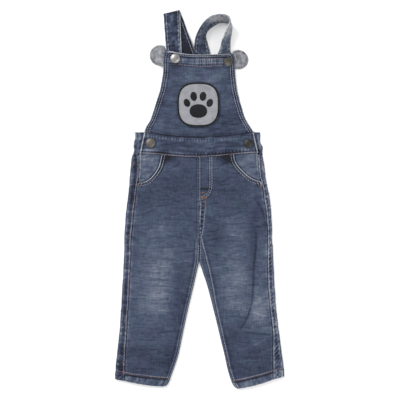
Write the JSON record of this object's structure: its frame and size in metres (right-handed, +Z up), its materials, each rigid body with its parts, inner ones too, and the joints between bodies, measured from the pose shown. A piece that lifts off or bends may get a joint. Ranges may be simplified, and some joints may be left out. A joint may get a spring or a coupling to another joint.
{
  "type": "kids dungarees",
  "caption": "Child's long denim dungarees laid flat on their back, with bib, patch, shoulder straps, round jersey tabs, pockets and tack buttons.",
  "frame": {"origin": "centre of the bounding box's underside, on the surface the garment lies on", "axes": "+X the viewer's right, +Y from the hems to the straps, +Z up from the surface, out of the garment's front"},
  "size_m": [0.312, 0.6962, 0.0291],
  "materials": {
    "denim": "washed stretch denim twill, faded at thighs, knees and seam edges",
    "denim_dark": "darker washed denim of the straps",
    "denim_light": "lighter washed denim of the pocket facings",
    "jersey": "grey melange jersey",
    "steel": "brushed nickel tack button",
    "brass": "antiqued brass tack button"
  },
  "bodies": {
    "root": {"leg_back_left": "denim", "leg_back_right": "denim", "leg_front_left": "denim", "leg_front_right": "denim", "pocket_facing_left": "denim_light", "pocket_facing_right": "denim_light", "mock_fly": "denim", "waistband_back": "denim", "waistband_front": "denim", "bib": "denim", "applique_patch": "jersey", "ear_tab_left": "jersey", "ear_tab_right": "jersey", "strap_left": "denim_dark", "strap_right": "denim_dark", "button_bib_left": "steel", "button_bib_right": "brass", "button_waist_left": "brass", "button_waist_right": "brass"}
  },
  "joints": []
}
